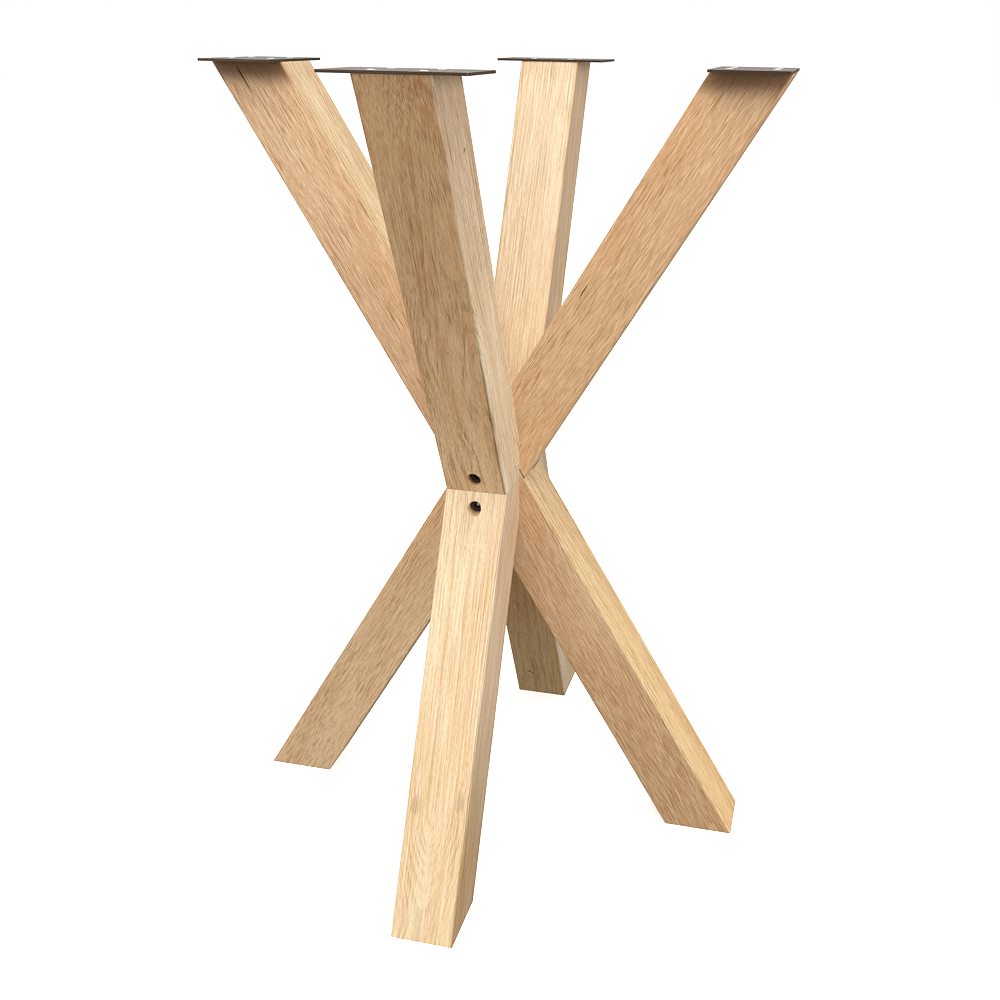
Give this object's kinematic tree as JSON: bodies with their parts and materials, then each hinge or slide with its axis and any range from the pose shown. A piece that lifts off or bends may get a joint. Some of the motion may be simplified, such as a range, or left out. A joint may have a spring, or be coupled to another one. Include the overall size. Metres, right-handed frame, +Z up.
{
  "type": "spider table base",
  "caption": "Free-standing oak table base of leaning square arms that meet in a bolted knuckle, with flat steel plates for the table top.",
  "frame": {"origin": "on the floor, at the middle of the base's footprint, straight below the knuckle", "axes": "+Z up, from the floor to the plates; -Y to the front bracket, +Y to the back bracket; the cross lies in the XZ plane"},
  "size_m": [0.7, 0.7026, 1.0109],
  "materials": {
    "oak_cross": "clear matt oil",
    "oak_bracket": "clear matt oil",
    "beech": "plain turned beech",
    "raw_steel": "raw rolled steel sheet",
    "black_steel": "black oxide",
    "plated_insert": "bright zinc plate",
    "zinc_screw": "bright zinc plate"
  },
  "bodies": {
    "root": {"cross_beam_rising_left": "oak_cross", "cross_beam_rising_right": "oak_cross", "front_upper_arm": "oak_bracket", "front_upper_bolt": "black_steel", "front_upper_insert": "plated_insert", "front_lower_arm": "oak_bracket", "front_lower_bolt": "black_steel", "front_lower_insert": "plated_insert", "front_left_dowel": "beech", "front_right_dowel": "beech", "back_upper_arm": "oak_bracket", "back_upper_bolt": "black_steel", "back_upper_insert": "plated_insert", "back_lower_arm": "oak_bracket", "back_lower_bolt": "black_steel", "back_lower_insert": "plated_insert", "back_left_dowel": "beech", "back_right_dowel": "beech", "left_top_plate": "raw_steel", "left_plate_screws": "zinc_screw", "right_top_plate": "raw_steel", "right_plate_screws": "zinc_screw", "front_top_plate": "raw_steel", "front_plate_screws": "zinc_screw", "back_top_plate": "raw_steel", "back_plate_screws": "zinc_screw"}
  },
  "joints": []
}
